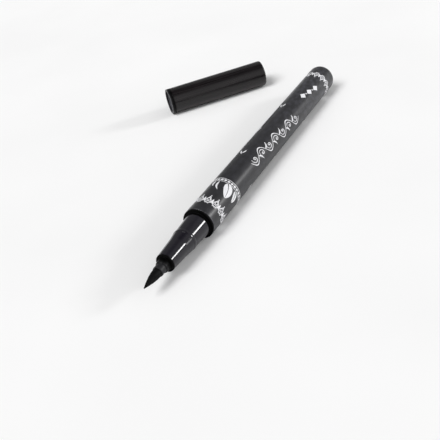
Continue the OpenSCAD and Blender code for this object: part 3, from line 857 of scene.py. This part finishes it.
def lace(thread, direction):
    """Films of a band of lace: scallops on one side of its thread and arches on the other, repeated."""
    pitch = ROUND / LACE_REPEATS

    def repeated(out, across):
        """Path out from the thread and across from the beginning of each repeat."""
        path = np.stack(np.broadcast_arrays(direction * out, across), -1)
        return at_each(all_round(thread, LACE_REPEATS), path)

    t = eased(LACE_STEPS)
    scallop = repeated(-SCALLOP_DEPTH * np.sin(np.pi * t), pitch * t)
    rise, inwards = ARCH_START + ARCH_HEIGHT * t ** 1.3, pitch * (ARCH_FOOT + ARCH_REACH * t ** 0.8)
    arches = np.concatenate([repeated(rise, inwards), repeated(rise, pitch - inwards)])
    turn = 2 * np.pi * np.arange(HOLE_STEPS) / HOLE_STEPS
    holes = repeated(HOLE_AT + HOLE_R * np.cos(turn), pitch / 2 + HOLE_R * np.sin(turn))
    picots = repeated(-PICOT_AT, pitch * np.array([0.3, 0.5, 0.7])).reshape(-1, 2)
    beads = repeated(LACE_BEAD_AT, pitch * np.array([0.5])).reshape(-1, 2)
    return [
        ring_line(thread, LACE_LINE),
        strokes(scallop, round_ended(scallop, LACE_LINE)),
        strokes(arches, round_ended(arches, LACE_LINE)),
        strokes(holes, HOLE_HALF, closed=True),
        leaves(repeated(SPUR_START + SPUR_LEN * t, 0.0), SPUR_W, across=5),
        dots(picots, PICOT_R),
        dots(beads, LACE_BEAD_R),
    ]


for band, (thread, direction) in THREADS.items():
    printed(band, lace(thread, direction))

# %% [markdown]
# A string of beads between two fine lines closes the front ornament off from the plain barrel.

# %% Beaded band
BAND_AT, BAND_HALF, BAND_LINE = 16.85, 0.75, 0.17
BEADS, BAND_BEAD_R, BAND_BEAD_STEPS, BAND_DOT_R = 27, 0.39, 18, 0.12

bead_places = all_round(BAND_AT, BEADS)
printed("beaded_band", [
    dots(bead_places, BAND_BEAD_R, steps=BAND_BEAD_STEPS),
    dots(bead_places + [0, ROUND / BEADS / 2], BAND_DOT_R),
    *[ring_line(BAND_AT + off, BAND_LINE) for off in (-BAND_HALF, BAND_HALF)],
])

# %% [markdown]
# Under the beads hangs a spray of leaves, once to the front and once to the back. The broad leaves
# are printed in two halves with the coat showing between them as the midrib, which is narrow at the
# point and wide at the stalk.

# %% Leaf sprays
SPRAY_AT, SPRAY_ANGLES = 15.85, (124, 304)
HALF_STEPS, HALF_PEAK = 44, 2.49
RIB_POINT, RIB_STALK = 0.04, 0.1
SHOOT_W = 0.65


def halved_leaf(start, end, width, bend):
    """Broad leaf in two halves beside its midrib, as wide as 2.49 s^0.55 (1 - s)^0.8, stalk to point."""
    vein = leaf_path(start, end, bend, steps=HALF_STEPS)
    along = np.array(end) - np.array(start)
    step = np.array([along[1], -along[0]]) / np.linalg.norm(along)
    s = eased(HALF_STEPS)
    half = width / 2 * HALF_PEAK * s ** 0.55 * (1 - s) ** 0.8
    shift = step * (half / 2 + RIB_POINT + RIB_STALK * (1 - s))[:, None]
    return strokes(np.stack([vein + shift, vein - shift]), half / 2, across=11)


def spray(angle):
    """Broad leaf, a slim leaf on one side and two shoots on the other, hanging from the beads."""
    top = unrolled((SPRAY_AT, angle))[0]
    shoots = np.stack([
        leaf_path(top + [0.0, -3.0], top + [-4.2, -1.7], 0.6),
        leaf_path(top + [0.0, -4.3], top + [-2.8, -4.0], 0.4),
    ])
    return [
        halved_leaf(top, top + [-5.5, 1.7], 2.8, -0.4),
        halved_leaf(top + [0.0, 3.3], top + [-4.0, 4.5], 1.5, -0.3),
        leaves(shoots, SHOOT_W),
    ]


printed("leaf_sprays", [grid for angle in SPRAY_ANGLES for grid in spray(angle)])

# %% [markdown]
# Along the barrel runs a scroll of foliage, an ornament as old as stone friezes: a stem that waves
# from side to side, and in each of its bows a shoot that curls up into a spiral with a bud at its
# end. It climbs a little round the barrel as it goes. The stem is a sine wave, and each shoot is a
# spiral whose radius shrinks as it turns. Stem and shoots swell and thin like strokes of a broad
# pen.

# %% Foliage scroll
SCROLL_START, SCROLL_END = (29.6, 138), (65.4, 159)
BOWS, BOW_HEIGHT, STEM_STEPS, STEM_THIN, STEM_THICK = 7, 1.9, 300, 0.18, 0.38
SPIRAL_START, SPIRAL_TURNS, SPIRAL_OUT, SPIRAL_IN, SPIRAL_STRETCH = 1.12, 1.05, 1.45, 0.35, 1.15
SPIRAL_SHIFT, SPIRAL_DROP, SPIRAL_STEPS, SHOOT_THIN, SHOOT_THICK = 0.15, 0.1, 56, 0.16, 0.3
BUD_SHIFT, BUD_R = 0.2, 0.27
FORK_ALONG, FORK_OUT, FORK_BEND, FORK_W = 1.9, 2.0, 0.4, 0.55

scroll_start, scroll_end = unrolled(SCROLL_START, SCROLL_END)
scroll_len = np.linalg.norm(scroll_end - scroll_start)
scroll_along = (scroll_end - scroll_start) / scroll_len
scroll_side = np.array([-scroll_along[1], scroll_along[0]])


def on_scroll(along, out):
    """Point that many mm along the scroll's middle line and out to its side."""
    return scroll_start + np.multiply.outer(along, scroll_along) + np.multiply.outer(out, scroll_side)


t = np.linspace(0, 1, STEM_STEPS)
stem = on_scroll(scroll_len * t, BOW_HEIGHT * np.sin(np.pi * BOWS * t))[None]
bow_len = scroll_len / BOWS
bow_side = np.where(np.arange(BOWS) % 2, -1, 1)
bow_middle = bow_len * (np.arange(BOWS) + 0.5)
turned_by = np.linspace(0, 1, SPIRAL_STEPS)
spiral_r = SPIRAL_OUT + (SPIRAL_IN - SPIRAL_OUT) * turned_by ** 0.8
spiral_a = np.pi * (SPIRAL_START - 2 * SPIRAL_TURNS * turned_by)
shoots = on_scroll(
    bow_middle[:, None] + SPIRAL_SHIFT + SPIRAL_STRETCH * spiral_r * np.cos(spiral_a),
    bow_side[:, None] * (spiral_r * np.sin(spiral_a) - SPIRAL_DROP),
)
fork_leaves = np.stack([
    leaf_path(on_scroll(at, 0.0), on_scroll(at + FORK_ALONG, -FORK_OUT * side), FORK_BEND * side)
    for at, side in zip(bow_len * np.arange(1, BOWS), bow_side[1:])
])
printed("foliage_scroll", [
    strokes(stem, swelling(stem, STEM_THIN, STEM_THICK, BOWS)),
    strokes(shoots, swelling(shoots, SHOOT_THIN, SHOOT_THICK, 1)),
    dots(on_scroll(bow_middle + BUD_SHIFT, -SPIRAL_DROP * bow_side), BUD_R),
    leaves(fork_leaves, FORK_W, across=5),
])

# %% [markdown]
# Three lozenges with dots between them stand in a short row near the tail, and small pairs of
# leaves are scattered over the rest of the barrel.

# %% Lozenges and leaf pairs
LOZENGES, FIRST_LOZENGE, LAST_LOZENGE = 3, (75.8, 122), (84.4, 140)
LOZENGE_LEN, LOZENGE_W, LOZENGE_STEPS, LOZENGE_DOT_R = 3.3, 2.3, 25, 0.3
PAIRS = (
    (32.8, 79), (65.7, 74), (49.0, 52), (24.5, 215), (47.0, 255), (72.0, 228), (60.0, 320), (82.0, 15),
    (36.0, 350),
)
PAIR_ALONG, PAIR_OUT, PAIR_BEND, PAIR_W, PAIR_DOT_AT, PAIR_DOT_R = 1.9, 0.9, 0.25, 0.6, 0.45, 0.22

lozenge_places = unrolled(*np.linspace(FIRST_LOZENGE, LAST_LOZENGE, LOZENGES))
share = np.linspace(-1, 1, LOZENGE_STEPS)
lozenge_paths = at_each(lozenge_places, np.stack([LOZENGE_LEN / 2 * share, 0 * share], -1))
between = (lozenge_places[1:] + lozenge_places[:-1]) / 2
printed("lozenges", [
    strokes(lozenge_paths, LOZENGE_W / 2 * (1 - np.abs(share)), across=7), dots(between, LOZENGE_DOT_R),
])

pair_places = unrolled(*PAIRS)
pair_leaves = np.concatenate([
    at_each(pair_places, leaf_path((0, 0), (PAIR_ALONG, PAIR_OUT * side), PAIR_BEND * side))
    for side in (1, -1)
])
printed("leaf_pairs", [
    leaves(pair_leaves, PAIR_W, across=5), dots(pair_places - [PAIR_DOT_AT, 0], PAIR_DOT_R),
])

# %% [markdown]
# The cap's shell is a plain tube with a closed end, and the inner sleeve's collar is flush with it
# at the mouth. A narrow dark seam shows where the two meet. Inside the closed end stands a low boss
# that centres the spring.

# %% Cap shell
CAP_BORE_R, COLLAR_LEN, SEAM_LEN, SEAM_DEPTH = 4.55, 1.1, 0.15, 0.25
END_T, BOSS_R, BOSS_LEN = 0.8, 3.17, 1.0

end_s, seam_end = CAP_LEN - END_T, COLLAR_LEN + SEAM_LEN
turned_piece("cap_body", cap_axes, "black_satin", "cap", "cap_shell", [
    (end_s - BOSS_LEN, 0), (end_s - BOSS_LEN, BOSS_R, 0.1), (end_s, BOSS_R, 0.05), (end_s, CAP_BORE_R, 0.15),
    (COLLAR_LEN, CAP_BORE_R), (COLLAR_LEN, CAP_R - SEAM_DEPTH), (seam_end, CAP_R - SEAM_DEPTH),
    (seam_end, CAP_R, 0.06), (CAP_LEN, CAP_R, 0.42), *dimple(CAP_LEN),
])

# %% [markdown]
# The sleeve grips the pen: its mouth is wide, then comes the snap rib that springs over the bead
# and rests behind it, in a bore with three shallow grooves that let the air out when the cap goes
# on.

# %% Cap sleeve
LINER_R, LINER_LEN, MOUTH_R, SNAP_R, SLEEVE_STEPS = 4.53, 17.0, 4.15, 3.85, 288
RIB_LEN, RIB_BITE, RIB_LEAD = 0.7, 0.06, 0.4
VENT_W, VENT_DEPTH, VENTS, VENT_START = 1.6, 0.15, 3, 0.05

rib_r = BEAD_R - RIB_BITE
rib_at = -BEAD_AT - BEAD_LEN / 2 - RIB_LEN / 2 - SEAT_GAP
snap_at = rib_at - RIB_LEN / 2 - RIB_LEAD
mouth_len = snap_at - (MOUTH_R - SNAP_R)
vent_r = SNAP_R + VENT_DEPTH


def vents(station, radius, angle):
    """Radius out to the groove's floor, in the bore behind the mouth, within half a groove's width."""
    inside = off_line(angle, VENTS, SNAP_R, first=np.pi / 2) < VENT_W / 2
    return np.where(inside & (station > mouth_len + VENT_START) & (radius < vent_r), vent_r, radius)


collar_end = COLLAR_LEN - SEAT_GAP
turned_piece("cap_sleeve", cap_axes, "black_plastic", "cap", "cap_liner", [
    (0, MOUTH_R, 0.15), (0, CAP_R, 0.15), (collar_end, CAP_R, 0.05), (collar_end, LINER_R),
    (LINER_LEN, LINER_R, 0.1), (LINER_LEN, SNAP_R, 0.1), (rib_at + RIB_LEN / 2, SNAP_R, 0.15),
    (rib_at + RIB_LEN / 6, rib_r, 0.1), (rib_at - RIB_LEN / 6, rib_r, 0.1),
    (rib_at - RIB_LEN / 2, SNAP_R, 0.1), (snap_at, SNAP_R), (mouth_len, MOUTH_R, 0.05),
], closed=True, steps=SLEEVE_STEPS, shape=vents)

# %% [markdown]
# The sprung cup closes over the nozzle, so that the nib doesn't dry out. It slides in the shell on
# its flange, and four ribs along it keep the spring centred.

# %% Sprung cup
CUP_S0, CUP_S1, CUP_BODY_R, CUP_WALL, CUP_BORE_R, CUP_STEPS = 17.1, 33.5, 3.3, 1.0, 2.3, 288
FLANGE_LEN, FLANGE_R, SEAL_R, SEAL_LEN = 1.0, 4.47, 2.95, 0.6
GUIDE_R, GUIDE_W, GUIDES, GUIDE_FALL = 3.45, 0.6, 4, 0.1

body_s0, body_s1 = CUP_S0 + FLANGE_LEN, CUP_S1 - CUP_WALL


def guides(station, radius, angle):
    """Radius out to the rib's top, along the cup's body, within half a rib's width of each rib's middle."""
    along = (station > body_s0 - TOLERANCE) & (station < body_s1 - GUIDE_FALL / 2)
    inside = off_line(angle, GUIDES, CUP_BODY_R, first=np.pi / 4) < GUIDE_W / 2
    return np.where(inside & along & (np.abs(radius - CUP_BODY_R) < TOLERANCE), GUIDE_R, radius)


turned_piece("sprung_cup", cap_axes, "black_plastic", "cap_insert", "inner_cap", [
    (body_s1, 0), (body_s1, CUP_BORE_R, 0.3), (CUP_S0 + SEAL_LEN, CUP_BORE_R, 0.1),
    (CUP_S0, SEAL_R, 0.04), (CUP_S0, FLANGE_R, 0.1), (body_s0, FLANGE_R, 0.1), (body_s0, CUP_BODY_R),
    (body_s1 - GUIDE_FALL, CUP_BODY_R, 0), (body_s1, CUP_BODY_R, 0.05),
    (CUP_S1, CUP_BODY_R - CUP_WALL, 0.2), (CUP_S1, 0),
], steps=CUP_STEPS, shape=guides)

# %% [markdown]
# The spring is a helix of round wire. Its end curls lie close together, as on a real compression
# spring, so the pitch grows and shrinks along it: the stations are the running sum of a pitch
# profile. The wire's section is a circle carried along the helix, and it closes to a point at both
# ends.

# %% Spring
WIRE_R, COIL_R, CURLS, COIL_S0, COIL_S1 = 0.25, 3.9, 9, 18.37, 39.13
CURL_STEPS, WIRE_SIDES = 48, 14
CLOSE_PITCH, ADDED_PITCH, CLOSE_CURLS = 0.62, 2.6, 0.8


def coil():
    """Wire with its centre at (s, R cos a, R sin a) and a circle across the helix as its section."""
    curl_no = np.linspace(0, CURLS, CURLS * CURL_STEPS + 1)
    from_end = np.minimum(curl_no, CURLS - curl_no)
    grown = np.clip((from_end - CLOSE_CURLS) / CLOSE_CURLS, 0, 1)
    pitch = CLOSE_PITCH + ADDED_PITCH * grown ** 2 * (3 - 2 * grown)
    run = np.concatenate([[0], np.cumsum((pitch[1:] + pitch[:-1]) / 2)])
    station = COIL_S0 + (COIL_S1 - COIL_S0) * run / run[-1]
    angle = 2 * np.pi * curl_no
    centre = cap_axes.point(station, COIL_R, angle)
    tangent = np.gradient(centre, axis=0)
    tangent /= np.linalg.norm(tangent, axis=1, keepdims=True)
    outward = cap_axes.point(station, 1.0, angle) - cap_axes.point(station, 0.0, angle)
    over = np.cross(tangent, outward)
    b = 2 * np.pi * np.arange(WIRE_SIDES) / WIRE_SIDES
    section = np.cos(b)[:, None] * outward[:, None] + np.sin(b)[:, None] * over[:, None]
    points = centre[:, None] + round_ended(centre, 2 * WIRE_R)[:, None, None] * section
    return points.reshape(-1, 3), quads(len(curl_no), WIRE_SIDES, False)


spring = piece("coil_spring", [coil()], "spring_steel", "cap", ["cap_spring"])
closed_end = Vector(cap_axes.point(end_s, 0.0, 0.0) * mm)
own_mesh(spring)

# %% [markdown]
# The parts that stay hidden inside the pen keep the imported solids' own meshes. They only get their
# finishes.

# %% Finishes of the hidden solids
HIDDEN = {
    "relay_core": "core_fibre",
    "collector": "clear_plastic",
    "section_seal": "seal_rubber",
    "collector_seal": "seal_rubber",
    "tail_seal": "seal_rubber",
    "mixing_ball": "ball_steel",
}
for node_name, slot_name in HIDDEN.items():
    node_mesh = frame["nodes"][node_name]
    node_mesh.data.materials.clear()
    node_mesh.data.materials.append(finishes[slot_name])
print("finished in place:", ", ".join(HIDDEN))

# %% [markdown]
# The table is a matt white board that reaches nearly to the horizon. It isn't part of the object.
# A trace of tone keeps it from being a flat colour, and it has no gloss, which
# would flare against the lamps when it is seen from the other side.

# %% Table
FLOOR_Z = float(cad_box[0][2])
FLOOR_HALF = 30.0


def white_board():
    """Matt white board: nearly white, with slow cloudiness and no gloss."""
    made, place = blank("white_board_matt", pen_axes)
    tones = ["#f3f3f3", (noise(place, 60, 60), 1.0, "#f6f6f6")]
    return finish(made, tones, [], [], {"Roughness": 0.9, "IOR": 1.3, "Specular IOR Level": 0.0})


floor_mesh = bpy.data.meshes.new("table_top")
corners = [(x * FLOOR_HALF, y * FLOOR_HALF, FLOOR_Z) for x, y in ((-1, -1), (1, -1), (1, 1), (-1, 1))]
floor_mesh.from_pydata(corners, [], [(0, 1, 2, 3)])
floor_mesh.materials.append(white_board())
floor = bpy.data.objects.new("table_top", floor_mesh)
bpy.context.scene.collection.objects.link(floor)
print("table at height", round(FLOOR_Z / mm, 2), "mm")

# %% [markdown]
# Black things are drawn by their reflections, so the room is designed as much as the lamps. It is
# white at the horizon, brighter on the camera's side than behind the pen, and dark overhead, which
# leaves upward faces deep and lights the flanks. The directions are compared as sines of the height
# above the horizon, which is what the third coordinate of a direction is.

# %% Room light
ROOM_BRIGHT, ROOM_DIM, ROOM_TOP = 0.85, 0.28, 0.09
BRIGHT_AZIMUTH = -125
HORIZON_BAND, TOP_BAND = np.sin(np.radians([(1, 5), (46, 68)])).tolist()

world = bpy.data.worlds.new("studio")
world.use_nodes = True
bpy.context.scene.world = world
sky = world.node_tree
sky.nodes.clear()

direction = add(sky, "TexCoord")
height = add(sky, "SeparateXYZ", {0: direction}).outputs["Z"]
bright = math.radians(BRIGHT_AZIMUTH)
facing = add(sky, "VectorMath", {
    0: direction, 1: (math.cos(bright), math.sin(bright), 0),
}, operation="DOT_PRODUCT")
side = add(sky, "MapRange", {"Value": facing, "From Min": -1, "To Min": ROOM_DIM, "To Max": ROOM_BRIGHT})
room = 1
for (low, high), above in ((HORIZON_BAND, side), (TOP_BAND, ROOM_TOP)):
    room = add(sky, "MapRange", {
        "Value": height, "From Min": low, "From Max": high, "To Min": room, "To Max": above,
    }, interpolation_type="SMOOTHSTEP")
background = add(sky, "Background", {"Color": (1, 1, 1, 1), "Strength": room})
add(sky, "OutputWorld", {"Surface": background})
print("room light from", ROOM_TOP, "overhead to 1 at the horizon")

# %% [markdown]
# A sun with a wide disc stands for a large soft window light, and an area lamp for the softbox. A
# dimmer area lamp beside it is the softbox's lit flap: the steeper cone in front of the grip's bead
# mirrors it, so the highlight goes on faintly where it would break off. The area lamps stand far
# off and are large to match, because an area lamp lights only what lies in front of it: near the
# pen, the edge of its light would cross the table as a step. Each is listed with its azimuth and
# height in degrees, its width and tallness in metres and its power in watts. All lamps are out of
# the camera's sight.

# %% Lamps
SUN_AZIMUTH, SUN_HEIGHT, SUN_STRENGTH, SUN_SPREAD = 162, 52, 2.1, 30
LAMP_DISTANCE = 12.0
AREA_LAMPS = {
    "low_softbox": (-52, 18.5, 2.1, 1.9, 440.0),
    "softbox_flap": (-62, 9, 1.1, 2.4, 34.0),
}
grip_middle = Vector(pen_axes.point(NOZZLE_AT / 2, 0.0, 0.0) * mm)


def lamp(name, kind, azimuth, height, **settings):
    """Lamp aimed at the grip's middle, from an azimuth from +X and a height above the horizon, in degrees."""
    a, h = math.radians(azimuth), math.radians(height)
    outward = Vector((math.cos(a) * math.cos(h), math.sin(a) * math.cos(h), math.sin(h)))
    data = bpy.data.lights.new(name, kind)
    for key, value in settings.items():
        setattr(data, key, value)
    made = bpy.data.objects.new(name, data)
    made.location = grip_middle + LAMP_DISTANCE * outward
    made.rotation_euler = outward.to_track_quat("Z", "Y").to_euler()
    made.visible_camera = False
    bpy.context.scene.collection.objects.link(made)


lamp("soft_sun", "SUN", SUN_AZIMUTH, SUN_HEIGHT, energy=SUN_STRENGTH, angle=math.radians(SUN_SPREAD))
for lamp_name, (azimuth, high, width, tall, power) in AREA_LAMPS.items():
    lamp(lamp_name, "AREA", azimuth, high, shape="RECTANGLE", size=width, size_y=tall, energy=power)

# %% [markdown]
# The camera stands where the photographer's did: in front of the nib, a hand's breadth above the
# table, and tilted a little to one side. Its three angles turn it from looking straight down, first
# by its roll, then up, then round.

# %% Camera
CAMERA_AT = Vector((-186.25, -102.4, 111.26)) * mm
CAMERA_UP_FROM_DOWN, CAMERA_ROUND, CAMERA_ROLL = 56.80, -55.26, -12.68
LENS, SENSOR = 57.437, 36

camera_data = bpy.data.cameras.new("camera")
camera_data.lens = LENS
camera_data.sensor_width = SENSOR
camera_data.clip_start = 0.01
camera = bpy.data.objects.new("camera", camera_data)
turn_to = Euler((0, 0, math.radians(CAMERA_ROUND))).to_matrix()
tilt = Euler((math.radians(CAMERA_UP_FROM_DOWN), 0, 0)).to_matrix()
roll = Euler((0, 0, math.radians(CAMERA_ROLL))).to_matrix()
look = turn_to @ tilt @ roll
camera.rotation_euler = look.to_euler()
camera.location = CAMERA_AT
bpy.context.scene.collection.objects.link(camera)
bpy.context.scene.camera = camera
bpy.context.scene.view_settings.view_transform = "Standard"
print("camera looks along", [round(c, 3) for c in look @ Vector((0, 0, -1))])
